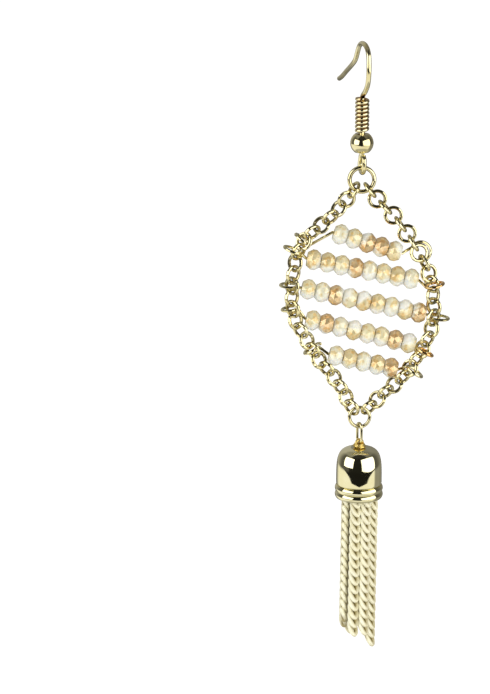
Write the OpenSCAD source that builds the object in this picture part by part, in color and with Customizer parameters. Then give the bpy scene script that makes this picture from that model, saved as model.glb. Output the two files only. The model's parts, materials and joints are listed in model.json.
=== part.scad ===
// Tassel earring: fish hook ear wire, diamond of chain crossed by rows of beads, capped tassel.
// Millimetres. The origin is the underside of the top of the ear wire, where it hangs from
// the ear. X runs to the viewer's right, Y to the back and Z up.

/* [Ear wire] */
// Thickness of the ear wire
ear_wire_d = 0.7; // [0.6:0.05:0.9]
// Height of the hook above its coil, to the middle of the wire
hook_rise = 7.5; // [7:0.1:12]
// Radius of the hook's bow, to the middle of the wire
hook_bow_r = 3.4; // [2.8:0.05:4.2]
// Angle between the hook's plane and the fore-and-aft plane
hook_yaw = 13; // [0:1:45]
// Width of the eye at the foot of the ear wire, between wire centres
eye_w = 2.2; // [1.7:0.05:2.4]
// Outer diameter of the coil
coil_d = 2.05; // [1.8:0.05:2.6]
// Thickness of the coil's wire
coil_wire_d = 0.53; // [0.4:0.01:0.6]
// Number of turns in the coil
coil_turns = 8.5; // [4:0.5:12]
// Diameter of the ball
ball_d = 3.3; // [2.5:0.1:4]
// Height of the ball between its flats
ball_h = 2.6; // [2:0.1:3.5]

/* [Rings] */
// Outer diameter of the top ring
top_ring_d = 4.1; // [3.5:0.1:6]
// Thickness of the top ring's wire
top_ring_wire_d = 0.62; // [0.4:0.02:0.8]
// Outer diameter of the low ring
low_ring_d = 3.4; // [3:0.1:5]
// Thickness of the low ring's wire
low_ring_wire_d = 0.5; // [0.4:0.02:0.7]

/* [Chain diamond] */
// Outer diameter of a chain link
link_d = 2.79; // [2.4:0.02:3.2]
// Thickness of a link's wire
link_wire_d = 0.5; // [0.35:0.01:0.55]
// Number of links in the left chain
left_links = 23; // [15:1:30]
// Number of links in the right chain
right_links = 24; // [15:1:30]
// Height of the diamond, between the two rings' centres
diamond_h = 34.9; // [25:0.1:50]
// Half width of the diamond that the chains' routes are shares of
diamond_w = 10; // [7:0.1:14]

/* [Beads] */
// Widest diameter of a bead
bead_d = 2.95; // [2:0.05:4]
// Length of a bead along its wire
bead_len = 1.92; // [1.5:0.02:3]
// Diameter of a bead's end flat
bead_table_d = 2; // [1.2:0.05:2.4]
// Sides of a bead
bead_sides = 10; // [8:1:14]
// Diameter of a bead's hole
bead_bore_d = 0.8; // [0.7:0.02:1]
// Free space between two beads
bead_gap = 0.1; // [0.05:0.01:0.3]
// Largest lean of a bead on its wire, in degrees
bead_lean = 1.5; // [0:0.5:4]
// Thickness of the bead wires
bead_wire_d = 0.42; // [0.3:0.02:0.5]
// Outer diameter of the eyes of the bead wires
wire_eye_d = 3; // [2.7:0.1:3.6]

/* [Cap] */
// Outer diameter of the cap's body
cap_d = 6.6; // [5:0.1:10]
// Height of the cap
cap_h = 7.4; // [5:0.1:12]
// Radius of the cap's shoulder
cap_shoulder_r = 2.6; // [1:0.1:3]
// Thickness of the cap's wall
cap_wall = 0.42; // [0.3:0.02:0.8]
// How far the two ribs stand out of the cap
rib_out = 0.18; // [0.1:0.01:0.4]
// Height of one rib
rib_h = 0.95; // [0.6:0.05:1.5]
// Outer diameter of the wire collar on the cap
collar_d = 2; // [1.6:0.1:3]
// Thickness of the collar's wire
collar_wire_d = 0.45; // [0.3:0.05:0.6]
// Outer diameter of the eye above the collar
cap_eye_d = 1.5; // [1.4:0.05:2]
// Thickness of the wire of the eye and of the cap link
cap_link_wire_d = 0.4; // [0.3:0.02:0.5]
// Width of the cap link, between wire centres
cap_link_w = 1.2; // [1.1:0.05:1.6]
// Height of the cap link, between wire centres
cap_link_h = 2.9; // [2:0.05:4]
// Angle between the cap link's plane and the fore-and-aft plane
cap_link_yaw = 28; // [0:1:40]

/* [Tassel] */
// Length of the longest strand below the cap
tassel_len = 22.9; // [15:0.1:40]
// Width of a strand
strand_w = 1.5; // [1:0.05:2]
// Thickness of a strand
strand_t = 1.2; // [0.8:0.05:1.6]
// Length of a strand taken by one of its links
strand_pitch = 1.31; // [1:0.01:2]
// Depth of the waist between two of a strand's links
strand_waist = 0.14; // [0:0.01:0.25]
// Distance of the strands from the tassel's middle
strand_ring_r = 2.05; // [1.8:0.05:2.2]

/* [Hidden] */
// Rows of beads: length of the row and its middle as shares of the diamond's half width, its
// middle as a share of the diamond's height, its slope, and the links that its wire is hooked
// in on the left and on the right
SPAN = 0;
MID_X = 1;
MID_Z = 2;
SLOPE = 3;
HOOKED = 4;
rows = [[1.03, 0.088, 0.262, 17.4, [6, 7]],
        [1.64, 0.02, 0.373, 11.4, [7, 10]],
        [1.84, 0.041, 0.506, 12.2, [10, 13]],
        [1.64, 0.004, 0.636, 13.7, [12, 16]],
        [1.03, 0.046, 0.763, 12.9, [16, 18]]];
bead_pitch = bead_len + bead_gap;
// As many beads as the row's length holds
function bead_count(r) = floor(rows[r][SPAN] * diamond_w / bead_pitch);
// Where each row's left and right eye lies from its link's centre, as shares of the eye's
// radius: outward, back and down the chain, how far its plane turns along the chain, its
// size as a share of the eyes', and how far round it from the row its wire comes in
OUTWARD = 0;
BEHIND = 1;
DOWN = 2;
TILT = 3;
EYE_SIZE = 4;
LEAD = 5;
wire_eyes = [[[0.12, 0.54, 0, 0, 1, 12], [0.19, 0.39, 0.05, 93, 1.1, 28]],
             [[0.62, -0.03, 0.07, 0, 1, 12], [0.23, -0.6, 0.03, 0, 1, 12]],
             [[0.3, 0.44, 0.09, 0, 0.97, 12], [0.66, 0.12, 0, 0, 1, 12]],
             [[0.26, 0.47, 0.04, 0, 0.94, 12], [0.27, -0.57, 0.01, 3, 0.96, 12]],
             [[0.02, 0.69, -0.03, 0, 1.03, 12], [0.59, -0.15, 0, 0, 1.02, 12]]];

// Clearances between wires that hang in one another, and between a stem and its hole
hang_gap = 0.06;
seat_gap = 0.04;

// Smoothness of the swept wires and of the exact rounds
wire_sides = 8;
round_fn = 48;

gold = [0.86, 0.78, 0.56];
rich_gold = [0.87, 0.66, 0.25];
glass = [0.91, 0.84, 0.72];
lacquer = [0.93, 0.9, 0.75];

// Heights, worked down from the ear
eye_r = eye_w / 2;
wire_r = ear_wire_d / 2;
// Free height between the eye and the ball
ball_below = 1.45;
ball_z0 = eye_r + ball_below + wire_r;
coil_pitch = coil_wire_d + 0.03;
coil_h = coil_turns * coil_pitch + coil_wire_d;
coil_top = ball_z0 + ball_h + seat_gap + coil_h;
foot_z = -(coil_top + hook_rise - wire_r);
top_ring_r = (top_ring_d - top_ring_wire_d) / 2;
low_ring_r = (low_ring_d - low_ring_wire_d) / 2;
top_ring_z = foot_z + wire_r + hang_gap + top_ring_wire_d / 2 - top_ring_r;
low_ring_z = top_ring_z - diamond_h;
cap_link_top = low_ring_z - low_ring_r + low_ring_wire_d / 2 + hang_gap + cap_link_wire_d / 2;
cap_link_bottom = cap_link_top - cap_link_h;
cap_eye_r = (cap_eye_d - cap_link_wire_d) / 2;
cap_eye_z = cap_link_bottom + cap_link_wire_d + hang_gap - cap_eye_r;
cap_top = cap_eye_z - cap_eye_r - 0.1;
cap_bottom = cap_top - cap_h;

// The ear wire's foot stands off the ring's middle, so that the eye is centred on the ring
eye_shift = 0.2;
foot_xy = eye_shift * [-sin(hook_yaw), cos(hook_yaw)];

function unit(v) = v / norm(v);
function spline_at(a, b, c, d, t) =
    0.5 * ((2 * b) + (c - a) * t + (2 * a - 5 * b + 4 * c - d) * t * t
    + (3 * b - a - 3 * c + d) * t * t * t);
function spline(p, n) = concat(
    [for (i = [0 : len(p) - 2]) for (k = [0 : n - 1])
        spline_at(p[max(i - 1, 0)], p[i], p[i + 1], p[min(i + 2, len(p) - 1)], k / n)],
    [p[len(p) - 1]]);
function tangents(p) =
    [for (i = [0 : len(p) - 1]) unit(p[min(i + 1, len(p) - 1)] - p[max(i - 1, 0)])];
// Carries a normal along a path, so that a swept section doesn't twist
function carried(t, n, i = 0) = i == len(t) ? [] :
    let (m = unit(n - (n * t[i]) * t[i]))
    concat([m], carried(t, m, i + 1));

// Sweeps a round wire along a path of points
module swept(path, d, start_normal, closed = false, sides = wire_sides) {
    count = len(path);
    t = closed
        ? [for (i = [0 : count - 1]) unit(path[(i + 1) % count] - path[(i + count - 1) % count])]
        : tangents(path);
    n = carried(t, start_normal);
    points = [for (i = [0 : count - 1]) for (j = [0 : sides - 1])
        let (a = 360 * j / sides)
        path[i] + d / 2 * (cos(a) * n[i] + sin(a) * cross(t[i], n[i]))];
    walls = [for (i = [0 : closed ? count - 1 : count - 2]) for (j = [0 : sides - 1])
        let (k = (j + 1) % sides, m = (i + 1) % count)
        each [[i * sides + j, m * sides + k, i * sides + k],
              [i * sides + j, m * sides + j, m * sides + k]]];
    ends = closed ? [] : [[for (j = [0 : sides - 1]) j],
        [for (j = [sides - 1 : -1 : 0]) (count - 1) * sides + j]];
    polyhedron(points, concat(walls, ends));
}

module ring(r, wire_d) {
    rotate([90, 0, 0])
        rotate_extrude($fn = round_fn)
            translate([r, 0]) circle(d = wire_d, $fn = round_fn);
}

// Hook in its own plane: back from the coil's middle and up from the coil's top, as shares of
// the bow's radius and of the rise
BACK = 0;
UP = 1;
hook_shape = [[3.75, 0.03], [3.3, 0.11], [2.67, 0.25], [1.62, 0.48], [1.14, 0.61],
              [0.9, 0.73], [0.62, 0.88], [0.3, 0.97], [-0.08, 1], [-0.48, 0.985],
              [-0.81, 0.91], [-0.97, 0.76], [-0.97, 0.49], [-0.82, 0.29], [-0.48, 0.14],
              [-0.12, 0.04], [0, -0.02]];
hook_points = [for (p = hook_shape) [p[BACK] * hook_bow_r, coil_top + p[UP] * hook_rise]];
eye_back = -eye_shift;
shank_points = [[0, ball_z0 + ball_h], [0, ball_z0 - 0.03 * ball_below],
                [0.31 * ball_below, ball_z0 - 0.52 * ball_below]];
eye_points = [for (a = [0 : -20 : -180]) [eye_back + eye_r * cos(a), eye_r * (1 + sin(a))]];
tail_points = [[eye_back - eye_r, ball_z0 - 0.65 * ball_below],
               [eye_back - 0.6 * eye_r, ball_z0 - 0.31 * ball_below]];

module ear_wire() {
    color(gold)
        translate([foot_xy[0], foot_xy[1], foot_z])
            rotate([0, 0, hook_yaw])
                swept([for (p = concat(spline(hook_points, 3), shank_points, eye_points,
                                       tail_points)) [0, p[BACK], p[UP]]],
                      ear_wire_d, [1, 0, 0]);
}

coil_r = (coil_d - coil_wire_d) / 2;
coil_steps = 14;
module ear_coil() {
    color(gold)
        translate([foot_xy[0], foot_xy[1], foot_z + ball_z0 + ball_h + seat_gap + coil_wire_d / 2])
            swept([for (i = [0 : coil_turns * coil_steps])
                let (a = 360 * i / coil_steps + 60)
                [coil_r * cos(a), coil_r * sin(a), coil_pitch * i / coil_steps]],
                coil_wire_d, [1, 0, 0], sides = 6);
}

module ear_ball() {
    color(gold)
        translate([foot_xy[0], foot_xy[1], foot_z + ball_z0 + ball_h / 2])
            intersection() {
                difference() {
                    sphere(d = ball_d, $fn = round_fn);
                    cylinder(d = ear_wire_d + 2 * seat_gap, h = ball_d, center = true,
                             $fn = round_fn);
                }
                cube([2 * ball_d, 2 * ball_d, ball_h], center = true);
            }
}

module top_ring() {
    color(gold) translate([0, 0, top_ring_z]) ring(top_ring_r, top_ring_wire_d);
}

module low_ring() {
    color(gold) translate([0, 0, low_ring_z]) ring(low_ring_r, low_ring_wire_d);
}

// Routes of the chains, from the top ring to the low ring: out from the middle as a share of
// the diamond's half width, and down from the top ring's centre as a share of its height
left_route = [[-0.115, 0.043], [-0.2, 0.078], [-0.34, 0.125], [-0.49, 0.17],
              [-0.68, 0.215], [-0.825, 0.262], [-0.91, 0.315], [-0.96, 0.39],
              [-0.98, 0.46], [-0.97, 0.53], [-0.93, 0.585], [-0.844, 0.635],
              [-0.725, 0.69], [-0.614, 0.745], [-0.484, 0.791], [-0.353, 0.838],
              [-0.25, 0.885], [-0.18, 0.925], [-0.115, 0.958]];
right_route = [[0.115, 0.043], [0.25, 0.09], [0.465, 0.153], [0.615, 0.21], [0.745, 0.267],
               [0.865, 0.326], [0.96, 0.388], [1.01, 0.43], [1.03, 0.49], [1.045, 0.555],
               [1.02, 0.615], [0.955, 0.67], [0.86, 0.725], [0.738, 0.78], [0.643, 0.82],
               [0.512, 0.856], [0.37, 0.892], [0.25, 0.925], [0.135, 0.9584]];
function routed(route) = spline([for (p = route)
    [p[0] * diamond_w, 0, top_ring_z - p[1] * diamond_h]], 6);
function run_lengths(p) =
    [for (i = 0, s = 0; i < len(p);
        s = s + (i < len(p) - 1 ? norm(p[i + 1] - p[i]) : 0), i = i + 1) s];
function centres(p, count) =
    let (s = run_lengths(p), total = s[len(s) - 1],
         xs = [for (i = [0 : len(p) - 1]) [s[i], p[i][0]]],
         zs = [for (i = [0 : len(p) - 1]) [s[i], p[i][2]]])
    [for (i = [0 : count - 1]) let (at = total * i / (count - 1))
        [lookup(at, xs), 0, lookup(at, zs)]];
left_centres = centres(routed(left_route), left_links);
right_centres = centres(routed(right_route), right_links);

link_r = (link_d - link_wire_d) / 2;
// Roll of each link about the chain: a quarter turn from link to link, eased from the first
// link's own roll to the roll that the chain settles in
function roll(i, first, settled, from, links) =
    90 * i + first + (settled - first) * min(1, max(0, (i - from) / links));
function left_roll(i) = roll(i, 75, 45, 0, 3);
function right_roll(i) = roll(i, 90, 45, 6, 4);

module link(centre, t, turn) {
    translate(centre)
        rotate([0, atan2(t[0], t[2]), 0])
            rotate([0, 0, turn])
                ring(link_r, link_wire_d);
}

module chain_left() {
    t = tangents(left_centres);
    color(gold) for (i = [0 : left_links - 1]) link(left_centres[i], t[i], left_roll(i));
}

module chain_right() {
    t = tangents(right_centres);
    color(gold) for (i = [0 : right_links - 1]) link(right_centres[i], t[i], right_roll(i));
}

wire_eye_r = (wire_eye_d - bead_wire_d) / 2;
function row_mid(r) = [rows[r][MID_X] * diamond_w, 0, top_ring_z - rows[r][MID_Z] * diamond_h];
function row_dir(r) = [cos(rows[r][SLOPE]), 0, -sin(rows[r][SLOPE])];
function row_half(r) = bead_count(r) * bead_pitch / 2;

// Eye of a bead wire round one side of a link, from its open end to where the wire comes in
eye_turn = 325;
eye_step = 25;
function wire_eye(centre, t, side, eye, from) =
    let (o = side * unit([-t[2], 0, t[0]]), y = [0, 1, 0], r = wire_eye_r * eye[EYE_SIZE],
         u = cos(eye[TILT]) * y + sin(eye[TILT]) * t,
         c = centre + wire_eye_r * (eye[OUTWARD] * o + eye[BEHIND] * y + eye[DOWN] * t),
         near = atan2((from - c) * u, (from - c) * o) + eye[LEAD])
    [for (a = [eye_turn : -eye_step : 0]) c + r * (cos(near + a) * o + sin(near + a) * u)];
function reversed(p) = [for (i = [len(p) - 1 : -1 : 0]) p[i]];
bend_len = 0.35;
function row_path(r) =
    let (d = row_dir(r), m = row_mid(r), h = row_half(r) + bead_gap, hooked = rows[r][HOOKED],
         a = m - h * d, b = m + h * d,
         l = wire_eye(left_centres[hooked[0]], tangents(left_centres)[hooked[0]], -1,
                      wire_eyes[r][0], a),
         q = wire_eye(right_centres[hooked[1]], tangents(right_centres)[hooked[1]], 1,
                      wire_eyes[r][1], b),
         le = l[len(l) - 1], qe = q[len(q) - 1])
    concat(l, [le + bend_len * unit(a - le), a, a + bend_len * d, b - bend_len * d, b,
               qe + bend_len * unit(b - qe)], reversed(q));

module bead_wire(r) {
    color(gold) swept(row_path(r), bead_wire_d, [0, 0, 1], sides = 6);
}

// One bead: two rings of points round its girdle, half a side apart, and a flat at each end
function bead_ring(d, z, shift) = [for (j = [0 : bead_sides - 1])
    let (a = 360 * (j + shift) / bead_sides) [d / 2 * cos(a), d / 2 * sin(a), z]];
function band(lo, shifted) = [for (j = [0 : bead_sides - 1])
    let (n = bead_sides, k = (j + 1) % n, hi = lo + n)
    each (shifted ? [[lo + j, hi + j, lo + k], [hi + j, hi + k, lo + k]]
                  : [[lo + j, hi + j, hi + k], [lo + j, hi + k, lo + k]])];
girdle_h = 0.3;
module bead_solid() {
    h = bead_len / 2;
    g = girdle_h * h;
    n = bead_sides;
    difference() {
        polyhedron(concat(bead_ring(bead_table_d, -h, 0), bead_ring(bead_d, -g, 0.5),
                          bead_ring(bead_d, g, 0), bead_ring(bead_table_d, h, 0.5)),
                   concat([[for (j = [0 : n - 1]) j]],
                          band(0, true), band(n, false), band(2 * n, true),
                          [[for (j = [n - 1 : -1 : 0]) 3 * n + j]]));
        cylinder(d = bead_bore_d, h = 2 * bead_len, center = true, $fn = round_fn);
    }
}

module bead(r, k) {
    along = (k - (bead_count(r) - 1) / 2) * bead_pitch;
    turn = 47 * k + 31 * r;
    color(glass)
        translate(row_mid(r) + along * row_dir(r))
            rotate([0, 90 + rows[r][SLOPE], 0])
                rotate([bead_lean * sin(7 * turn), bead_lean * cos(5 * turn), turn])
                    bead_solid();
}

// The cap link hangs over the low ring's wire and through the eye on the cap
module cap_link() {
    w = cap_link_w / 2;
    top = cap_link_top - w;
    low = cap_link_bottom + w;
    color(gold)
        rotate([0, 0, cap_link_yaw])
            swept(concat([for (a = [0 : 30 : 180]) [0, w * cos(a), top + w * sin(a)]],
                         [for (a = [180 : 30 : 360]) [0, w * cos(a), low + w * sin(a)]]),
                  cap_link_wire_d, [1, 0, 0], closed = true);
}

collar_r = (collar_d - collar_wire_d) / 2;
collar_z = cap_top + seat_gap + collar_wire_d / 2;
stem_d = 0.6;
cap_hole_d = 0.9;
stem_foot_d = 1.8;
stem_foot_h = 0.4;
cavity_top = cap_top - cap_wall;
module cap_eye() {
    color(rich_gold)
        union() {
            translate([0, 0, cap_eye_z])
                rotate([0, 0, cap_link_yaw])
                    ring(cap_eye_r, cap_link_wire_d);
            translate([0, 0, collar_z])
                rotate_extrude($fn = round_fn)
                    translate([collar_r, 0]) circle(d = collar_wire_d, $fn = round_fn);
            translate([0, 0, cap_top + seat_gap])
                cylinder(r = collar_r, h = 0.15, $fn = round_fn);
            translate([0, 0, cavity_top - seat_gap - stem_foot_h])
                cylinder(d = stem_d, h = cap_wall + 2 * seat_gap + stem_foot_h + 0.1,
                         $fn = round_fn);
            translate([0, 0, cavity_top - seat_gap - stem_foot_h])
                cylinder(d = stem_foot_d, h = stem_foot_h, $fn = round_fn);
        }
}

// Outline of the cap or of its hollow, as a half section
module bell(r, top, bottom, shoulder) {
    translate([0, bottom]) square([r, top - shoulder - bottom]);
    translate([0, bottom]) square([r - shoulder, top - bottom]);
    translate([r - shoulder, top - shoulder]) circle(shoulder, $fn = 2 * round_fn);
}

// Each rib is a round of this radius that stands out of the wall over the rib's height
rib_r = (rib_h * rib_h / 4 + rib_out * rib_out) / (2 * rib_out);
module cap() {
    r = cap_d / 2;
    color(gold)
        rotate_extrude($fn = 2 * round_fn)
            difference() {
                union() {
                    bell(r, cap_top, cap_bottom, cap_shoulder_r);
                    for (k = [0, 1])
                        intersection() {
                            translate([r + rib_out - rib_r, cap_bottom + rib_h * (k + 0.5)])
                                circle(rib_r, $fn = 2 * round_fn);
                            translate([r - cap_wall / 2, cap_bottom + rib_h * k])
                                square([cap_wall, rib_h]);
                        }
                }
                bell(r - cap_wall, cap_top - cap_wall, cap_bottom - 1,
                     cap_shoulder_r - cap_wall);
                translate([-cap_d, cap_bottom - 1]) square([cap_d, cap_h + 2]);
                translate([0, cap_bottom]) square([cap_hole_d / 2, cap_h + 1]);
            }
}

// Strands: angle round the tassel from its right, share of the ring they stand on, turn of
// the strand's flat, and length as a share of the longest
ANGLE = 0;
OUT = 1;
FLAT = 2;
LENGTH = 3;
strands = [[-157, 1.04, 60, 0.838], [-105, 0.97, 5, 0.91], [-60, 0.97, 0, 0.908],
           [-16, 1.05, 20, 1], [32, 1, 100, 0.93], [76, 1, 20, 0.88],
           [119, 1, -20, 0.95], [158, 1, 80, 0.9]];
head_gap = 0.15;
head_inset = 1.2;
tuck_len = 0.3;
head_r = cap_d / 2 - cap_wall - head_gap;
head_top = cavity_top - 2 * seat_gap - stem_foot_h - cap_shoulder_r / 2;
head_bottom = cap_bottom + head_inset;
strand_sides = 6;
module strand(s) {
    length = head_bottom - cap_bottom + tassel_len * s[LENGTH];
    steps = 2 * round(length / strand_pitch);
    x = strand_ring_r * s[OUT] * cos(s[ANGLE]);
    y = strand_ring_r * s[OUT] * sin(s[ANGLE]);
    points = [for (i = [0 : steps]) for (j = [0 : strand_sides - 1])
        let (a = 360 * j / strand_sides, slim = i % 2 == 0 ? 1 - strand_waist : 1,
             z = head_bottom + tuck_len - (length + tuck_len) * i / steps,
             u = strand_w / 2 * cos(a) * slim, v = strand_t / 2 * sin(a) * slim)
        [x + u * cos(s[FLAT]) - v * sin(s[FLAT]), y + u * sin(s[FLAT]) + v * cos(s[FLAT]), z]];
    walls = [for (i = [0 : steps - 1]) for (j = [0 : strand_sides - 1])
        let (n = strand_sides, k = (j + 1) % n)
        each [[i * n + j, i * n + k, (i + 1) * n + k],
              [i * n + j, (i + 1) * n + k, (i + 1) * n + j]]];
    polyhedron(points, concat(walls,
        [[for (j = [strand_sides - 1 : -1 : 0]) j]],
        [[for (j = [0 : strand_sides - 1]) steps * strand_sides + j]]));
}

module tassel() {
    color(lacquer)
        union() {
            translate([0, 0, head_bottom])
                cylinder(r = head_r, h = head_top - head_bottom, $fn = round_fn);
            for (s = strands) strand(s);
        }
}

ear_wire();
ear_coil();
ear_ball();
top_ring();
chain_left();
chain_right();
for (r = [0 : 4])
    bead_wire(r);
for (r = [0 : 4])
    for (k = [0 : bead_count(r) - 1])
        bead(r, k);
low_ring();
cap_link();
cap_eye();
cap();
tassel();
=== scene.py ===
"""Tassel earring, dressed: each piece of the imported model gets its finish, and the wires,
chains, cap and tassel strands get their close shape. Metres, in the model's own frame: the
origin is the underside of the top of the ear wire, X right, Y back and Z up."""
import json
import bmesh
import bpy
import numpy as np
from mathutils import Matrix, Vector


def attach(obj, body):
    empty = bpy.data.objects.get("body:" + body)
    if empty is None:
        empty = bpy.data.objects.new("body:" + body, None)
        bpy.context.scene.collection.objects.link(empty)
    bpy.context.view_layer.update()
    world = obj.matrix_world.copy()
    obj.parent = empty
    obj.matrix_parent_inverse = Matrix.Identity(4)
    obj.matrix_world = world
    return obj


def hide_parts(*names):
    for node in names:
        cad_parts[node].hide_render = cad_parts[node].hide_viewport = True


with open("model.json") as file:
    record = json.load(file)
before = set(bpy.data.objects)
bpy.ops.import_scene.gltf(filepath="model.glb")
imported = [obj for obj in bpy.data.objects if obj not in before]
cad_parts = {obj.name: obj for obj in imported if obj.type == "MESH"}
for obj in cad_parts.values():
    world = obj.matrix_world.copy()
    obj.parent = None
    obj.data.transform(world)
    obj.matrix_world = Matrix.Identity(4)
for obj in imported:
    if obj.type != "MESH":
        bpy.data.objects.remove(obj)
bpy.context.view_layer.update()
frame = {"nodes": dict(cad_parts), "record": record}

# Ear wire
# A fish hook bent from one length of round, plated brass wire: the bow that goes through the
# ear, the shank through the coil and the ball, and the open eye that the drop hangs in.
MM = 0.001  # Sizes are in millimetres, and this takes them to metres.
wire_d = 0.7
hook_rise, hook_bow_r, hook_yaw = 7.5, 3.4, np.radians(13)
eye_r, eye_shift = 1.1, 0.2
ball_z0, ball_h, ball_d = 2.9, 2.6, 3.3
coil_d, coil_wire_d, coil_turns = 2.05, 0.53, 8.5
turn_gap, ball_gap = 0.03, 0.04
coil_pitch = coil_wire_d + turn_gap
coil_z0 = ball_z0 + ball_h + ball_gap
coil_top = coil_z0 + coil_turns * coil_pitch + coil_wire_d
foot_z = -(coil_top + hook_rise - wire_d / 2)
foot = eye_shift * np.array([-np.sin(hook_yaw), np.cos(hook_yaw), 0]) + [0, 0, foot_z]
body_of = {node: body for body, nodes in frame["record"]["behaviour"]["bodies"].items()
           for node in nodes}


def spline(points, steps):
    """Catmull-Rom curve: between two points a cubic whose slopes are half the chord of their
    neighbours, taken at `steps` even shares of each stretch."""
    points = np.asarray(points, float)
    padded = np.vstack([points[:1], points, points[-1:]])
    before, start, end, after = (padded[i:len(padded) - 3 + i, None] for i in range(4))
    share = (np.arange(steps) / steps)[None, :, None]
    curve = 0.5 * (2 * start + (end - before) * share
                   + (2 * before - 5 * start + 4 * end - after) * share ** 2
                   + (3 * start - before - 3 * end + after) * share ** 3)
    return np.vstack([curve.reshape(-1, points.shape[1]), points[-1:]])


def unit(vectors):
    """Each vector over its own length."""
    return vectors / np.linalg.norm(vectors, axis=-1, keepdims=True)


def wire(path, radius, side, sides=16, closed=False):
    """Round wire along a path: at each point a circle in the plane across the path, reckoned
    from `side`, a direction that the path never follows. An open end is drawn in to a point
    through a quarter of an ellipse, and a closed wire ends on its first circle again."""
    middle = np.asarray(path, float)
    radii = np.full(len(middle), float(radius))
    side = np.broadcast_to(side, middle.shape)
    if closed:
        ahead = unit(np.roll(middle, -1, 0) - np.roll(middle, 1, 0))
    else:
        ahead = unit(np.gradient(middle, axis=0))
        lean = np.radians([0, 30, 60, 90])
        first = middle[0] - ahead[0] * radius * 0.5 * np.sin(lean)[::-1, None]
        last = middle[-1] + ahead[-1] * radius * 0.5 * np.sin(lean)[:, None]
        middle = np.vstack([first, middle, last])
        radii = np.concatenate([radius * np.cos(lean)[::-1], radii, radius * np.cos(lean)])
        ahead = np.vstack([np.repeat(ahead[:1], 4, 0), ahead, np.repeat(ahead[-1:], 4, 0)])
        side = np.vstack([np.repeat(side[:1], 4, 0), side, np.repeat(side[-1:], 4, 0)])
    out = unit(side - (side * ahead).sum(1, keepdims=True) * ahead)
    across = np.cross(ahead, out)
    turn = np.linspace(0, 2 * np.pi, sides, endpoint=False)[None, :, None]
    circle = np.cos(turn) * out[:, None] + np.sin(turn) * across[:, None]
    grid = middle[:, None] + radii[:, None, None] * circle
    return np.vstack([grid, grid[:1]]) if closed else grid


def turned(profile, sides=96):
    """Surface of revolution: each (radius, height) of the profile carried round Z."""
    radii, heights = np.asarray(profile, float).T[..., None]
    turn = np.linspace(0, 2 * np.pi, sides, endpoint=False)[None]
    return np.stack([radii * np.cos(turn), radii * np.sin(turn), heights + 0 * turn], -1)


def piece(name, grids, node, sharp=35):
    """Mesh object from grids of points in millimetres, each closed in its second direction and
    ended in its first by a point or by its own first row again. Points that meet are welded,
    and edges past `sharp` degrees stay sharp. It rides where its node rides, and stands for it."""
    verts, faces, start = [], [], 0
    for grid in grids if isinstance(grids, list) else [grids]:
        stack = grid.reshape(-1, *grid.shape[-3:])
        copies, steps, sides = stack.shape[:3]
        i, j = np.meshgrid(np.arange(steps - 1), np.arange(sides), indexing="ij")
        next_i, next_j = i + 1, (j + 1) % sides
        quads = np.stack([i * sides + j, i * sides + next_j, next_i * sides + next_j,
                          next_i * sides + j], -1).reshape(1, -1, 4)
        shift = np.arange(copies)[:, None, None] * steps * sides + start
        faces.append((quads + shift).reshape(-1, 4))
        verts.append(stack.reshape(-1, 3))
        start += copies * steps * sides
    mesh = bpy.data.meshes.new(name)
    mesh.from_pydata(np.vstack(verts) * MM, [], np.vstack(faces).tolist())
    made = bmesh.new()
    made.from_mesh(mesh)
    bmesh.ops.remove_doubles(made, verts=made.verts, dist=1e-7)
    bmesh.ops.recalc_face_normals(made, faces=made.faces)
    made.to_mesh(mesh)
    made.free()
    mesh.shade_smooth()
    mesh.set_sharp_from_angle(angle=np.radians(sharp))
    obj = bpy.data.objects.new(name, mesh)
    bpy.context.scene.collection.objects.link(obj)
    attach(obj, body_of[node])
    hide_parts(node)
    return obj


class Value:
    """A number that changes over a surface. A sum, difference, product or power of it, or its
    size without its sign, adds the Math node that works it out."""

    def __init__(self, finish, socket):
        self.finish, self.socket = finish, socket

    def _maths(self, operation, first, second):
        node = self.finish.node("Math", {"operation": operation}, {0: first, 1: second})
        return Value(self.finish, node.outputs[0])

    def __add__(self, other):
        return self._maths("ADD", self, other)

    def __radd__(self, other):
        return self._maths("ADD", other, self)

    def __sub__(self, other):
        return self._maths("SUBTRACT", self, other)

    def __rsub__(self, other):
        return self._maths("SUBTRACT", other, self)

    def __mul__(self, other):
        return self._maths("MULTIPLY", self, other)

    def __rmul__(self, other):
        return self._maths("MULTIPLY", other, self)

    def __pow__(self, other):
        return self._maths("POWER", self, other)

    def __abs__(self):
        return self._maths("ABSOLUTE", self, 0)


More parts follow.
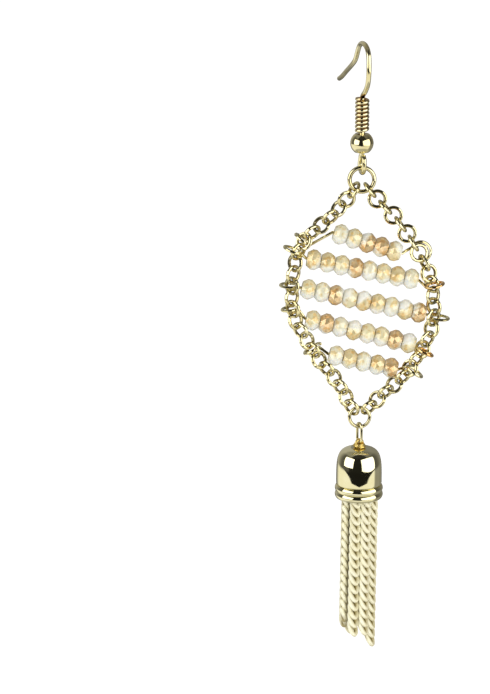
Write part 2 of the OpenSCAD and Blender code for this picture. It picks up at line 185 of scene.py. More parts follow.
class Finish:
    """A material, or the world where its node tree is given. node() adds a node: its type, its
    settings, which are set first, and the values of its sockets or what they are linked to."""

    def __init__(self, name=None, tree=None):
        if tree is None:
            self.material = bpy.data.materials.new(name)
            self.material.use_nodes = True
            tree = self.material.node_tree
        self.tree = tree
        self.tree.nodes.clear()

    def node(self, kind, settings=None, sockets=None):
        made = self.tree.nodes.new("ShaderNode" + kind)
        for key, value in (settings or {}).items():
            setattr(made, key, value)
        for key, value in (sockets or {}).items():
            if isinstance(value, Value):
                self.tree.links.new(value.socket, made.inputs[key])
            elif isinstance(value, bpy.types.NodeSocket):
                self.tree.links.new(value, made.inputs[key])
            else:
                made.inputs[key].default_value = value
        return made

    def value(self, node, output=0):
        """A node's output, as a number to reckon with."""
        return Value(self, node.outputs[output])

    def place(self):
        """Object coordinates, in metres."""
        return self.node("TexCoord").outputs["Object"]

    def noise(self, scale, detail=2.0):
        """Noise about 0.5, its coarsest waves a metre over `scale` long."""
        sockets = {"Vector": self.place(), "Scale": scale, "Detail": detail}
        return self.value(self.node("TexNoise", None, sockets), "Fac")

    def step(self, value, low, high):
        """0 up to `low`, 1 from `high` on, and a smooth rise between them."""
        sockets = {"Value": value, "From Min": low, "From Max": high}
        rise = self.node("MapRange", {"interpolation_type": "SMOOTHSTEP"}, sockets)
        return self.value(rise, "Result")

    def mix(self, share, first, second):
        """Colour between two others, each of them three numbers or a socket."""
        first, second = ((*c, 1) if isinstance(c, tuple) else c for c in (first, second))
        sockets = {"Factor": share, 6: first, 7: second}
        return self.node("Mix", {"data_type": "RGBA"}, sockets).outputs[2]

    def drift(self, light, deep):
        """Two near shades that run into each other every few millimetres."""
        return self.mix(self.step(self.noise(420.0, 3.0), 0.35, 0.65), light, deep)

    def polish(self, rough=0.06, wear=0.05):
        """Roughness of polished plate, a little uneven."""
        return rough + wear * self.noise(1400.0)

    def ripple(self):
        """Normal of the faint ripple that plating and tumbling leave."""
        sockets = {"Strength": 0.03, "Distance": 0.00002, "Height": self.noise(2600.0)}
        return self.node("Bump", None, sockets).outputs[0]

    def out(self, sockets):
        """Ends the material in one Principled shader, and gives it back."""
        shader = self.node("BsdfPrincipled", None, sockets)
        self.node("OutputMaterial", None, {"Surface": shader.outputs[0]})
        return self.material


def plated(name, light, deep, rough, wear=0.05):
    """Plated metal: two near shades, an uneven polish and a faint ripple."""
    plate = Finish(name)
    return plate.out({"Base Color": plate.drift(light, deep), "Metallic": 1.0,
                      "Roughness": plate.polish(rough, wear), "Normal": plate.ripple()})


def dressed(obj, material):
    """Gives the piece its one material."""
    obj.data.materials.clear()
    obj.data.materials.append(material)


def in_hook_plane(points):
    """(back, up) in the hook's own plane, turned about Z by the hook's yaw and stood on its
    foot."""
    back, up = np.asarray(points, float).T
    return np.stack([-back * np.sin(hook_yaw), back * np.cos(hook_yaw), up], -1) + foot


# The hook from its tip over the top and down to the coil: back in radii of the bow, and up in
# shares of the rise. Under the ball the shank leans over to one side of the eye, and from the
# other side a short tail turns in again.
hook_shape = np.array([
    [3.75, 0.03], [3.3, 0.11], [2.67, 0.25], [1.62, 0.48], [1.14, 0.61], [0.9, 0.73],
    [0.62, 0.88], [0.3, 0.97], [-0.08, 1], [-0.48, 0.985], [-0.81, 0.91], [-0.97, 0.76],
    [-0.97, 0.49], [-0.82, 0.29], [-0.48, 0.14], [-0.12, 0.04], [0, -0.02]])
hook = spline(hook_shape * [hook_bow_r, hook_rise] + [0, coil_top], 8)
eye_turn = np.radians(np.arange(0, -181, -12))
eye = np.stack([eye_r * np.cos(eye_turn) - eye_shift, eye_r * (1 + np.sin(eye_turn))], -1)
shank = spline([[0, ball_z0 + ball_h], [0, ball_z0 - 0.1], [0.2, ball_z0 - 0.42],
                [0.5, ball_z0 - 0.85], eye[0]], 5)[:-1]
tail = spline([eye[-1], [-eye_shift - eye_r, ball_z0 - 0.95],
               [-eye_shift - 0.6 * eye_r, ball_z0 - 0.45]], 5)[1:]
ear_path = in_hook_plane(np.vstack([hook, shank, eye, tail]))
hook_side = [np.cos(hook_yaw), np.sin(hook_yaw), 0]
ear_wire = piece("ear_wire_bent", wire(ear_path, wire_d / 2, hook_side, 20), "ear_wire")
pale_light, pale_deep = (0.90, 0.82, 0.50), (0.80, 0.70, 0.37)
pale_gold = plated("pale_gold_plate", pale_light, pale_deep, 0.06)
dressed(ear_wire, pale_gold)

# Coil and ball
# A close coil of finer wire wound round the shank, with painted brown shade down in its grooves,
# and a round ball with a small flat at each end of its hole, both threaded on the shank over the
# eye.
up_z = np.array([0.0, 0, 1])
coil_steps, coil_start = 28, np.radians(60)
turns = np.arange(int(coil_turns * coil_steps) + 1) / coil_steps * 2 * np.pi + coil_start
coil_r = (coil_d - coil_wire_d) / 2
coil_path = np.stack([coil_r * np.cos(turns), coil_r * np.sin(turns),
                      (turns - turns[0]) / (2 * np.pi) * coil_pitch], -1)
coil_path = coil_path + foot + [0, 0, coil_z0 + coil_wire_d / 2]
ear_coil = piece("ear_coil_wound", wire(coil_path, coil_wire_d / 2, up_z, 12), "ear_coil")

ball_bore_r = 0.39
height = np.linspace(-1, 1, 41) * ball_h / 2
ball_round = np.stack([np.sqrt((ball_d / 2) ** 2 - height ** 2), height], -1)
bore_foot, bore_top = [ball_bore_r, height[0]], [ball_bore_r, height[-1]]
ball = turned(np.vstack([[bore_foot], ball_round, [bore_top, bore_foot]]))
ear_ball = piece("ear_ball_turned", ball + foot + [0, 0, ball_z0 + ball_h / 2], "ear_ball")

# How far outside the coil's middle line the painted brown shade of the grooves still covers the
# wire, and where it ends
groove_full, groove_end = 0.12, 0.25
plate = Finish("coil_gold_plate")
spot = plate.node("SeparateXYZ", None, {0: plate.place()})
from_x = plate.value(spot, 0) - foot[0] * MM
from_y = plate.value(spot, 1) - foot[1] * MM
off_axis = (from_x * from_x + from_y * from_y) ** 0.5
# Painted shade: the wire turns brown, and rougher, where it lies near the coil's axis, down between
# the turns.
groove_shade = 1 - plate.step(off_axis, (coil_r + groove_full) * MM, (coil_r + groove_end) * MM)
gold = plate.drift(pale_light, (0.84, 0.70, 0.38))
coil_gold = plate.out({"Base Color": plate.mix(groove_shade, gold, (0.52, 0.34, 0.16)),
                       "Metallic": 1.0, "Roughness": plate.polish() + 0.12 * groove_shade})
for made, material in ((ear_coil, coil_gold), (ear_ball, pale_gold)):
    dressed(made, material)

# Rings
# Two closed jump rings of round wire: the top one hangs in the ear wire's eye and carries both
# chains, the low one hangs in their last links and carries the tassel.
hang_gap = 0.06
top_ring_d, top_ring_wire_d, low_ring_d, low_ring_wire_d = 4.1, 0.62, 3.4, 0.5
diamond_h, diamond_w = 34.9, 10
top_r, low_r = (top_ring_d - top_ring_wire_d) / 2, (low_ring_d - low_ring_wire_d) / 2
top_ring_z = foot_z + wire_d / 2 + hang_gap + top_ring_wire_d / 2 - top_r
low_ring_z = top_ring_z - diamond_h


def rings(centres, across, along, radius, wire_r, steps=40, sides=12):
    """Rings of round wire: for each centre a torus in the plane of its two directions."""
    across, along = (np.broadcast_to(v, np.shape(centres))[:, None, None] for v in (across, along))
    round_ring = np.linspace(0, 2 * np.pi, steps + 1)[None, :, None, None]
    round_wire = np.linspace(0, 2 * np.pi, sides, endpoint=False)[None, None, :, None]
    out = np.cos(round_ring) * across + np.sin(round_ring) * along
    return (np.asarray(centres)[:, None, None] + (radius + wire_r * np.cos(round_wire)) * out
            + wire_r * np.sin(round_wire) * np.cross(across, along))


def mark_inside(obj, centres, normals, radius, wire_r):
    """Point attribute "inner": how far a point lies towards the middle of its own ring, from 0 on
    the wire's middle line to 1 at its inmost. A point's own ring is the one nearest to it, by the
    root of (distance from the ring's axis less its radius) squared plus (height off its plane)
    squared."""
    where = np.empty(3 * len(obj.data.vertices))
    obj.data.vertices.foreach_get("co", where)
    off = where.reshape(-1, 1, 3) / MM - np.asarray(centres)
    high = (off * normals).sum(-1)
    out = np.linalg.norm(off - high[..., None] * normals, axis=-1) - radius
    own = np.hypot(out, high).argmin(1)
    inner = obj.data.attributes.new("inner", "FLOAT", "POINT")
    inner.data.foreach_set("value", (-out[np.arange(len(own)), own] / wire_r).astype(np.float32))


# Pale gold with painted shade, in patches, on the inner side of each ring and link where neighbours
# meet, and a little rougher there
plate = Finish("tarnished_gold_plate")
inner = plate.value(plate.node("Attribute", {"attribute_name": "inner"}), "Fac")
# Painted shade: the inner side of each wire is darkened towards brown, as if in shadow.
inner_shade = plate.step(inner, 0.2, 0.85) * (0.55 + 0.45 * plate.step(plate.noise(900.0), 0.35, 0.65))
gold = plate.drift(pale_light, pale_deep)
inner_shaded_gold = plate.out({"Base Color": plate.mix(inner_shade, gold, (0.26, 0.20, 0.08)),
                            "Metallic": 1.0, "Roughness": plate.polish() + 0.2 * inner_shade,
                            "Normal": plate.ripple()})
for node, ring_z, radius, ring_wire_d in (("top_ring", top_ring_z, top_r, top_ring_wire_d),
                                          ("low_ring", low_ring_z, low_r, low_ring_wire_d)):
    torus = rings([[0, 0, ring_z]], [1, 0, 0], [0, 0, 1], radius, ring_wire_d / 2, 72, 16)
    ring = piece(node + "_round", torus, node)
    mark_inside(ring, [[0, 0, ring_z]], [[0, 1, 0]], radius, ring_wire_d / 2)
    dressed(ring, inner_shaded_gold)

# Chains
# Two lengths of round-link chain from ring to ring. Every link is a closed ring of round wire,
# turned a quarter against the one before it, and hangs in its neighbours.
link_d, link_wire_d = 2.79, 0.5
link_r = (link_d - link_wire_d) / 2
# The two sides of the diamond from the top ring down, in shares of its width and height
left_route = [[-0.115, 0.043], [-0.2, 0.078], [-0.34, 0.125], [-0.49, 0.17], [-0.68, 0.215],
              [-0.825, 0.262], [-0.91, 0.315], [-0.96, 0.39], [-0.98, 0.46], [-0.97, 0.53],
              [-0.93, 0.585], [-0.844, 0.635], [-0.725, 0.69], [-0.614, 0.745], [-0.484, 0.791],
              [-0.353, 0.838], [-0.25, 0.885], [-0.18, 0.925], [-0.115, 0.958]]
right_route = [[0.115, 0.043], [0.25, 0.09], [0.465, 0.153], [0.615, 0.21], [0.745, 0.267],
               [0.865, 0.326], [0.96, 0.388], [1.01, 0.43], [1.03, 0.49], [1.045, 0.555],
               [1.02, 0.615], [0.955, 0.67], [0.86, 0.725], [0.738, 0.78], [0.643, 0.82],
               [0.512, 0.856], [0.37, 0.892], [0.25, 0.925], [0.135, 0.9584]]


def link_centres(route, count):
    """Even shares of a route's length, on the spline through its points, and the direction
    from each centre's neighbour before it to the one after it."""
    flat = spline(np.array(route) * [diamond_w, -diamond_h] + [0, top_ring_z], 6)
    run = np.concatenate([[0], np.cumsum(np.linalg.norm(np.diff(flat, axis=0), axis=1))])
    at = np.linspace(0, run[-1], count)
    centres = np.stack([np.interp(at, run, flat[:, 0]), 0 * at, np.interp(at, run, flat[:, 1])], -1)
    i = np.arange(count)
    return centres, unit(centres[np.minimum(i + 1, count - 1)] - centres[np.maximum(i - 1, 0)])


def roll(count, first, settled, start, over):
    """Turn of each link about the chain: a quarter more than the last, from a lead of `first`
    degrees, which becomes `settled` over so many links after `start`."""
    i = np.arange(count)
    return np.radians(90 * i + first + (settled - first) * np.clip((i - start) / over, 0, 1))


chains = {}
for node, route, turn in (("chain_left", left_route, roll(23, 75, 45, 0, 3)),
                          ("chain_right", right_route, roll(24, 90, 45, 6, 4))):
    centres, ahead = link_centres(route, len(turn))
    chains[node] = centres, ahead
    out = np.stack([ahead[:, 2], 0 * ahead[:, 0], -ahead[:, 0]], -1)
    across = np.cos(turn)[:, None] * out + np.sin(turn)[:, None] * [0, 1, 0]
    links = piece(node + "_links", rings(centres, across, ahead, link_r, link_wire_d / 2, 32, 10),
                  node)
    mark_inside(links, centres, np.cross(across, ahead), link_r, link_wire_d / 2)
    dressed(links, inner_shaded_gold)

# Bead wires
# Each row of beads is strung on one straight wire whose ends are turned into open eyes round a
# chain link on either side. The right eyes of the second and fourth are worn to an orange gold.
bead_wire_d, wire_eye_d, bead_len, bead_gap = 0.42, 3, 1.92, 0.1
bead_pitch = bead_len + bead_gap
eye_out_r = (wire_eye_d - bead_wire_d) / 2
eye_sweep, eye_step, lead_in = 325, 12.5, 0.35
# Each row: its count of beads, its middle across and down in shares of the diamond, its fall to
# the right in degrees, and the links of the left and right chain that its eyes go round
rows = [(5, 0.088, 0.262, 17.4, 6, 7), (8, 0.02, 0.373, 11.4, 7, 10),
        (9, 0.041, 0.506, 12.2, 10, 13), (8, 0.004, 0.636, 13.7, 12, 16),
        (5, 0.046, 0.763, 12.9, 16, 18)]
# Each row's left and right eye: how far its middle lies outward, back and along the chain from
# the link's, in radii of the eye, its tilt in degrees, its size, and where it closes in degrees
wire_eyes = [[[0.12, 0.54, 0, 0, 1, 12], [0.19, 0.39, 0.05, 93, 1.1, 28]],
             [[0.62, -0.03, 0.07, 0, 1, 12], [0.23, -0.6, 0.03, 0, 1, 12]],
             [[0.3, 0.44, 0.09, 0, 0.97, 12], [0.66, 0.12, 0, 0, 1, 12]],
             [[0.26, 0.47, 0.04, 0, 0.94, 12], [0.27, -0.57, 0.01, 3, 0.96, 12]],
             [[0.02, 0.69, -0.03, 0, 1.03, 12], [0.59, -0.15, 0, 0, 1.02, 12]]]


def row_line(row):
    """Middle, direction and half length of a row."""
    count, across, down, fall = row[:4]
    fall = np.radians(fall)
    return (np.array([across * diamond_w, 0, top_ring_z - down * diamond_h]),
            np.array([np.cos(fall), 0, -np.sin(fall)]), count * bead_pitch / 2)


def open_eye(link, ahead, side, seat, start):
    """Points of one eye, from its open end round to where the wire comes in, and the direction
    across its plane. The plane is the chain's outward and backward one, tilted along it."""
    outward, behind, down, tilt, size, lead = seat
    out, back = side * unit(np.array([-ahead[2], 0, ahead[0]])), np.array([0.0, 1, 0])
    along = np.cos(np.radians(tilt)) * back + np.sin(np.radians(tilt)) * ahead
    middle = link + eye_out_r * (outward * out + behind * back + down * ahead)
    near = np.degrees(np.arctan2((start - middle) @ along, (start - middle) @ out)) + lead
    turn = np.radians(near + np.arange(eye_sweep, -1, -eye_step))[:, None]
    path = middle + eye_out_r * size * (np.cos(turn) * out + np.sin(turn) * along)
    normal = np.cross(out, along)
    return path, normal * np.sign(normal @ ahead)


plate = Finish("worn_gold_wire")
along_x = plate.value(plate.node("SeparateXYZ", None, {0: plate.place()}))
worn = plate.step(along_x, 7.5 * MM, 9.5 * MM) * plate.step(plate.noise(600.0), 0.3, 0.6)
worn_gold = plate.out({"Base Color": plate.mix(worn, (0.88, 0.79, 0.45), (0.93, 0.56, 0.20)),
                       "Metallic": 1.0, "Roughness": plate.polish()})
left_links, left_ahead = chains["chain_left"]
right_links, right_ahead = chains["chain_right"]
for number, (row, seats) in enumerate(zip(rows, wire_eyes), 1):
    middle, ahead, reach = row_line(row)
    first, last = middle - (reach + bead_gap) * ahead, middle + (reach + bead_gap) * ahead
    left, left_normal = open_eye(left_links[row[4]], left_ahead[row[4]], -1, seats[0], first)
    right, right_normal = open_eye(right_links[row[5]], right_ahead[row[5]], 1, seats[1], last)
    straight = np.array([left[-1] + lead_in * unit(first - left[-1]), first,
                         first + lead_in * ahead, last - lead_in * ahead, last,
                         right[-1] + lead_in * unit(last - right[-1])])
    path = np.vstack([left, straight, right[::-1]])
    share = np.concatenate([0 * left[:, 0], np.linspace(0, 1, 6), 0 * right[:, 0] + 1])[:, None]
    across = unit((1 - share) * left_normal + share * right_normal + 0 * path)
    strung = piece(f"bead_wire_{number}_bent", wire(path, bead_wire_d / 2, across, 10),
                   f"bead_wire_{number}")
    dressed(strung, worn_gold if number in (2, 4) else pale_gold)

# Beads
# Machine-cut rondelles of milky glass, each half coated with a thin champagne lustre that the
# facets catch. The cut beads are the model's own, and each one's coat lies its own way round.

# Each tone of lustre: its colour, how far the coat reaches, and its share of metal
lustre_tones = {"cream": ((0.89, 0.76, 0.49), 0.8, 0.2),
                "champagne": ((0.85, 0.68, 0.40), 0.9, 0.3),
                "amber": ((0.80, 0.57, 0.32), 1.2, 0.5),
                "white": ((0.92, 0.83, 0.60), 0.5, 0.15)}
# The tones of each row from left to right, and the way that each bead's coat lies, in degrees
# up from the right
row_tones = ["white cream amber amber champagne",
             "champagne champagne cream amber white cream champagne white",
             "cream white amber cream champagne champagne white champagne amber",
             "cream amber white champagne cream cream amber cream",
             "white champagne white champagne amber"]
row_lays = [[110, 45, -45, 30, 200], [135, 90, 90, 0, 90, 100, 90, 60],
            [80, 60, 180, -40, -50, 90, 60, -70, -30], [90, 60, 80, -110, 90, 60, 120, -70],
            [90, 90, 150, 80, 20]]


def lustred_glass(name, centre, coat_side, tone):
    """Milky glass with a coat over the part of the bead that faces `coat_side`: the distance of
    a point along that direction in millimetres, broken up by noise, mixes glass and coat."""
    coat, amount, metal = lustre_tones[tone]
    deep_coat = (coat[0] * 0.88, coat[1] * 0.74, coat[2] * 0.55)
    glass = Finish(name)
    at = glass.node("VectorMath", {"operation": "SUBTRACT"},
                    {0: glass.place(), 1: tuple(centre * MM)}).outputs[0]
    along = glass.node("VectorMath", {"operation": "DOT_PRODUCT"},
                       {0: at, 1: tuple(coat_side / MM)})
    broken = glass.value(along, "Value") + 2.0 * (glass.noise(900.0, 3.0) - 0.5)
    mask = glass.step(broken, 0.15 - amount, 1.05 - amount)
    lustre = glass.mix(glass.step(glass.noise(1300.0), 0.5, 0.64), coat, deep_coat)
    milk = glass.mix(glass.step(glass.noise(500.0), 0.35, 0.7),
                     (0.96, 0.91, 0.74), (0.98, 0.95, 0.82))
    return glass.out({"Base Color": glass.mix(mask, milk, lustre), "Metallic": metal * mask,
                      "Roughness": 0.28 - 0.16 * mask, "IOR": 1.5, "Specular IOR Level": 0.25,
                      "Transmission Weight": 0.04, "Coat Weight": 0.25 * mask,
                      "Coat Roughness": 0.04, "Subsurface Weight": 0.8,
                      "Subsurface Scale": 0.003, "Subsurface Radius": (0.82, 0.72, 0.6)})


for number, (row, tones, lays) in enumerate(zip(rows, row_tones, row_lays), 1):
    middle, ahead, reach = row_line(row)
    for k, (tone, lay) in enumerate(zip(tones.split(), np.radians(lays))):
        centre = middle + (k - (row[0] - 1) / 2) * bead_pitch * ahead
        name = f"bead_{number}_{k + 1}"
        facing = unit(np.array([np.cos(lay), -0.12, np.sin(lay)]))
        dressed(frame["nodes"][name], lustred_glass(name + "_glass", centre, facing, tone))

# Cap link, knot and cap
# A long link hangs over the low ring and holds the eye of a wire knot, which sits on the crown
# of a spun, mirror-polished bell cap with two rolled ribs round its rim.
cap_link_wire_d, cap_link_w, cap_link_h, cap_link_yaw = 0.4, 1.2, 2.9, np.radians(28)
cap_d, cap_h, cap_shoulder_r, cap_wall, rib_out, rib_h = 6.6, 7.4, 2.6, 0.42, 0.18, 0.95
cap_eye_d, collar_d, collar_wire_d, eye_gap = 1.5, 2, 0.45, 0.1
link_top = low_ring_z - low_r + low_ring_wire_d / 2 + hang_gap + cap_link_wire_d / 2
link_bottom = link_top - cap_link_h
cap_eye_r = (cap_eye_d - cap_link_wire_d) / 2
cap_eye_z = link_bottom + cap_link_wire_d + hang_gap - cap_eye_r
cap_top = cap_eye_z - cap_eye_r - eye_gap
cap_bottom = cap_top - cap_h
link_across = np.array([-np.sin(cap_link_yaw), np.cos(cap_link_yaw), 0])
eye_across = np.array([np.cos(cap_link_yaw), np.sin(cap_link_yaw), 0])
half_turn = np.radians(np.arange(0, 181, 12))
half_w = cap_link_w / 2
over = np.outer(half_w * np.cos(half_turn), link_across)
under = np.outer(-half_w * np.cos(half_turn), link_across)
long_loop = np.vstack([
    over + np.outer(link_top - half_w + half_w * np.sin(half_turn), up_z),
    under + np.outer(link_bottom + half_w - half_w * np.sin(half_turn), up_z)])
cap_link = piece("cap_link_bent", wire(long_loop, cap_link_wire_d / 2, eye_across, 14, True),
                 "cap_link")
dressed(cap_link, pale_gold)

# The knot is a helix of wire that narrows as it rises from the crown, under an eye that stands
# across the long link, on a stem through the crown.
knot_turns, knot_wire_r, knot_seat, knot_rise = 2.4, 0.17, 0.04, 0.36
knot_spread, knot_narrowing = 0.06, 0.26
stem_r, stem_below, stem_above = 0.3, 0.8, 0.1
full_turn = 2 * half_turn[:-1]
eye_loop = (np.outer(cap_eye_r * np.cos(full_turn), eye_across)
            + np.outer(cap_eye_z + cap_eye_r * np.sin(full_turn), up_z))
wound = np.linspace(0, 1, 85)
knot_turn = 2 * np.pi * knot_turns * wound
knot_r = (collar_d - collar_wire_d) / 2 + knot_spread - knot_narrowing * wound
knot_path = np.stack([knot_r * np.sin(knot_turn), -knot_r * np.cos(knot_turn),
                      cap_top + knot_seat + knot_wire_r + knot_rise * wound], -1)
stem = [[0, cap_top - stem_below], [stem_r, cap_top - stem_below],
        [stem_r, cap_top + stem_above], [0, cap_top + stem_above]]
cap_eye = piece("cap_eye_wound", [wire(eye_loop, cap_link_wire_d / 2, link_across, 14, True),
                                  wire(knot_path, knot_wire_r, up_z, 12), turned(stem, 24)],
                "cap_eye")
rich_gold = plated("rich_gold_plate", (1.0, 0.80, 0.30), (0.92, 0.66, 0.18), 0.3)
dressed(cap_eye, rich_gold)

# The cap in profile: each rib bulges as 4 s (1 - s), and the wall over them is a superellipse of
# power `bow` up to the crown, whose foot curls in to the upper rib.
wall_h, bow, crown_r, cap_hole_r, curl_h, curl_in = cap_h - 2 * rib_h, 4.4, 0.6, 0.45, 0.44, 0.15
ribs_top = cap_bottom + 2 * rib_h
share = np.linspace(0, 1, 13)
ribs = np.concatenate([np.stack([cap_d / 2 + rib_out * 4 * share * (1 - share),
                                 cap_bottom + rib_h * (k + share)], -1) for k in (0, 1)])
up = np.linspace(0, 1, 9)[:-1]
curl = np.stack([cap_d / 2 - curl_in * (1 - up) ** 2, ribs_top + curl_h * up], -1)
turn = np.linspace(0, np.pi / 2, 61)
wall_out = np.stack([cap_d / 2 * np.cos(turn) ** (2 / bow),
                     ribs_top + wall_h * np.sin(turn) ** (2 / bow)], -1)
wall_out = wall_out[(wall_out[:, 0] > crown_r) & (wall_out[:, 1] > ribs_top + curl_h)]
shoulder = np.radians(np.linspace(0, 90, 25))
inner_r = cap_shoulder_r - cap_wall
wall_in = np.stack([cap_d / 2 - cap_wall - inner_r * (1 - np.cos(shoulder)),
                    cap_top - cap_wall - inner_r * (1 - np.sin(shoulder))], -1)[::-1]
rim = [[cap_d / 2 - cap_wall, cap_bottom]]
hole = [[cap_hole_r, cap_top], [cap_hole_r, cap_top - cap_wall]]
bell = turned(np.vstack([rim, ribs, curl, wall_out, hole, wall_in, rim]), 128)
cap = piece("cap_spun", bell, "cap", sharp=40)
mirror_gold = plated("mirror_gold_plate", (0.92, 0.86, 0.56), (0.86, 0.79, 0.47), 0.03, 0.03)
dressed(cap, mirror_gold)

# Tassel
# Eight lengths of fine curb chain in cream lacquer, gathered under the cap. A curb link is an
# oval ring twisted so that the chain lies flat, and each one hooks through the next.
tassel_len, strand_w, strand_pitch, strand_ring_r = 22.9, 1.5, 1.31, 2.05
# Each strand: degrees round the tassel, distance out in radii of the ring of strands, the turn
# of its flat side in degrees, and its share of the tassel's length
strands = [(-157, 1.04, 75, 0.838), (-105, 0.97, -22, 0.91), (-60, 0.97, -6, 0.908),
           (-16, 1.05, 0, 1), (32, 1, 100, 0.93), (76, 1, 20, 0.88), (119, 1, -20, 0.95),
           (158, 1, 80, 0.9)]
curb_wire_d, link_lean, link_nod = 0.66, 0.36, 0.14
link_turn, link_twist, hang_slant = np.radians(42), np.radians(-20), 0.012


def curb_links(x, y, flat, length, steps=22, sides=8):
    """Curb chain hanging at (x, y). Each link is an ellipse whose width is turned about Z by a
    fixed angle and by a twist that goes as the sine of the angle round the link. Its ends lean
    sideways and nod back and forth as that sine. The links follow each other by their pitch,
    and under the cap each lies further to the left by `hang_slant` times its depth."""
    count = int(round(length / strand_pitch))
    half_high = (strand_pitch + curb_wire_d) / 2
    half_wide = (strand_w - curb_wire_d) / 2
    turn = np.linspace(0, 2 * np.pi, steps, endpoint=False)
    twist = link_turn + link_twist * np.sin(turn)
    loop = np.stack([half_wide * np.cos(turn) * np.cos(twist) - link_lean * np.sin(turn),
                     half_wide * np.cos(turn) * np.sin(twist) + link_nod * np.sin(turn),
                     half_high * np.sin(turn)], -1)
    cos, sin = np.cos(flat), np.sin(flat)
    loop = loop @ np.array([[cos, sin, 0], [-sin, cos, 0], [0, 0, 1]])
    ring = wire(loop, curb_wire_d / 2, loop, sides, True)
    low = cap_bottom - length + half_high + curb_wire_d / 2
    z = low + strand_pitch * np.arange(count + 1)
    aslant = np.minimum(z - cap_bottom, 0) * hang_slant
    return ring[None] + np.stack([x + aslant, 0 * z + y, z], -1)[:, None, None]


axes = np.array([[strand_ring_r * out * np.cos(np.radians(angle)),
                  strand_ring_r * out * np.sin(np.radians(angle))]
                 for angle, out, flat, share in strands])
hanging = [curb_links(*axis, np.radians(flat), tassel_len * share)
           for axis, (angle, out, flat, share) in zip(axes, strands)]
stem_gap, stem_foot_h, head_gap, head_lift = 0.08, 0.4, 0.15, 1.2
head_top = cap_top - cap_wall - stem_gap - stem_foot_h - cap_shoulder_r / 2
head_bottom = cap_bottom + head_lift
head_r = cap_d / 2 - cap_wall - head_gap
head = turned([[0, head_bottom], [head_r, head_bottom], [head_r, head_top], [0, head_top]], 48)
tassel = piece("tassel_strands", [head] + hanging, "tassel")

# A point attribute of painted shade: 1 near the middle line of a strand and well inside the bunch,
# in the gaps between links and strands where shade falls, and 0 at a strand's outside. It is the
# greater of two: 1.55 less the distance from the nearest middle line, and the depth inside a circle
# of 0.9 of the strands' ring, both in steps of `fade`.
fade, at_middle, bunch_share = 0.5, 1.55, 0.9
where = np.empty(3 * len(tassel.data.vertices))
tassel.data.vertices.foreach_get("co", where)
where = where.reshape(-1, 3)[:, :2] / MM
off_line = np.linalg.norm(where[:, None] - axes, axis=2).min(1)
in_bunch = bunch_share * strand_ring_r - np.linalg.norm(where, axis=1)
depth = np.maximum(at_middle - off_line / fade, in_bunch / fade)
hollow = tassel.data.attributes.new("hollow", "FLOAT", "POINT")
hollow.data.foreach_set("value", np.clip(depth, 0, 1).astype(np.float32))
lacquer = Finish("cream_lacquer")
in_hollow = lacquer.value(lacquer.node("Attribute", {"attribute_name": "hollow"}), "Fac")
shade = lacquer.step(lacquer.noise(700.0, 3.0), 0.3, 0.7)
cream = lacquer.mix(shade, (0.95, 0.91, 0.64), (0.98, 0.96, 0.75))
# Painted shade: olive brown mixed into the cream where the attribute is high, in the crevices of
# the links and inside the bunch.
dressed(tassel, lacquer.out({"Base Color": lacquer.mix(in_hollow, cream, (0.38, 0.31, 0.11)),
                             "Roughness": 0.3 + 0.1 * lacquer.noise(1500.0),
                             "Coat Weight": 0.4, "Coat Roughness": 0.08}))

# Stage
# A white floor well below, two soft boxes at the front left and right, a room that only
# reflections show, pale with a dark front, and the camera at the photograph's angle. In metres.
floor_z, floor_reach = -0.3, 8
corners = [(x * floor_reach, y * floor_reach, floor_z)
           for x, y in ((-1, -1), (1, -1), (1, 1), (-1, 1))]
floor_mesh = bpy.data.meshes.new("floor")
floor_mesh.from_pydata(corners, [], [(0, 1, 2, 3)])
floor = bpy.data.objects.new("floor", floor_mesh)
bpy.context.scene.collection.objects.link(floor)
floor.visible_glossy = False
floor.visible_diffuse = False
dressed(floor, Finish("white_floor").out({
    "Base Color": (0.95, 0.95, 0.95, 1), "Roughness": 0.9,
    "Emission Color": (1, 1, 1, 1), "Emission Strength": 0.6}))

# The room that reflections show, by direction: `aside` is the angle in radians round from the
# camera's side, `round_at` the same with a sign, more than 0 on the right, and z the sine of
# the height. The low part is bright at the sides, from an edge that leans, the middle and high
# parts are dim, and straight below it is grey.
world = bpy.data.worlds.new("studio")
world.use_nodes = True
bpy.context.scene.world = world
room = Finish(tree=world.node_tree)
direction = room.node("SeparateXYZ", None, {0: room.node("TexCoord").outputs["Generated"]})
x, y, z = (room.value(direction, i) for i in range(3))
round_at = room.value(room.node("Math", {"operation": "ARCTAN2"}, {0: x, 1: 0 - y}))
aside = abs(round_at)
side, behind = room.step(aside, 0.85, 1.05), room.step(aside, 2.1, 2.7)
right = room.step(round_at, 0, 0.1)
low, deep = 1 - room.step(z, -0.24, -0.17), 1 - room.step(z, -0.8, -0.68)
high = room.step(z, 0.6, 0.8)
open_side = room.step(aside - 7.0 * (z + 0.27), 0.92, 1.02)
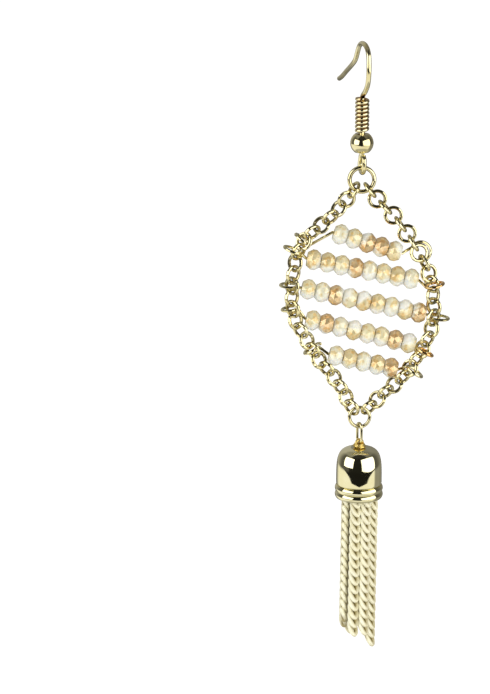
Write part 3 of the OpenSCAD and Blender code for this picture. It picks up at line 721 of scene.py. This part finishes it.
right_shade = room.step(round_at, 1.35, 1.6) * (1 - room.step(round_at, 2.3, 2.6))
low_light = 0.012 + open_side * (1.0 - 0.72 * right_shade) * (1 - 0.85 * behind)
middle_light = 0.015 + 0.08 * side + room.step(aside, 1.7, 2.6) * (0.34 - 0.2 * right)
high_light = 0.03 + 0.25 * side * (1 - 0.4 * right)
light = middle_light * (1 - low) * (1 - high) + low_light * low + high_light * high
light = light * (1 - deep) + 0.5 * deep
reflected = room.mix(light, (0.0, 0.0, 0.0), (1.0, 0.99, 0.95))
# What isn't glossy gets a plain light, brighter from below, and the camera sees white.
plain = room.mix(room.step(z, -0.3, 0.2), (0.82, 0.80, 0.76), (0.5, 0.49, 0.47))
ray = room.node("LightPath")
colour = room.mix(room.value(ray, "Is Glossy Ray"), plain, reflected)
colour = room.mix(room.value(ray, "Is Camera Ray"), colour, (1.0, 1.0, 1.0))
background = room.node("Background", None, {"Color": colour, "Strength": 1.0})
room.node("OutputWorld", None, {"Surface": background.outputs[0]})

look_at = Vector((-0.01646, 0, -0.04346))
for name, place, size, power in (("soft_box_left", (-0.427, -0.26, 0.08), (0.52, 0.40), 1.3),
                                 ("soft_box_right", (0.375, -0.331, 0.06), (0.78, 0.48), 2.3)):
    lamp = bpy.data.lights.new(name, "AREA")
    lamp.shape, lamp.size, lamp.size_y, lamp.energy = "RECTANGLE", *size, power
    box = bpy.data.objects.new(name, lamp)
    bpy.context.scene.collection.objects.link(box)
    box.location = place
    box.rotation_euler = (look_at - Vector(place)).to_track_quat("-Z", "Y").to_euler()

elevation, distance = np.radians(15.5), 0.45
camera = bpy.data.objects.new("camera", bpy.data.cameras.new("camera"))
bpy.context.scene.collection.objects.link(camera)
camera.location = look_at + distance * Vector((0, -np.cos(elevation), np.sin(elevation)))
camera.rotation_euler = (np.pi / 2 - elevation, 0, 0)
camera.data.lens, camera.data.clip_start, camera.data.clip_end = 163.4, 0.01, 50
bpy.context.scene.camera = camera
bpy.context.scene.view_settings.view_transform = "Standard"
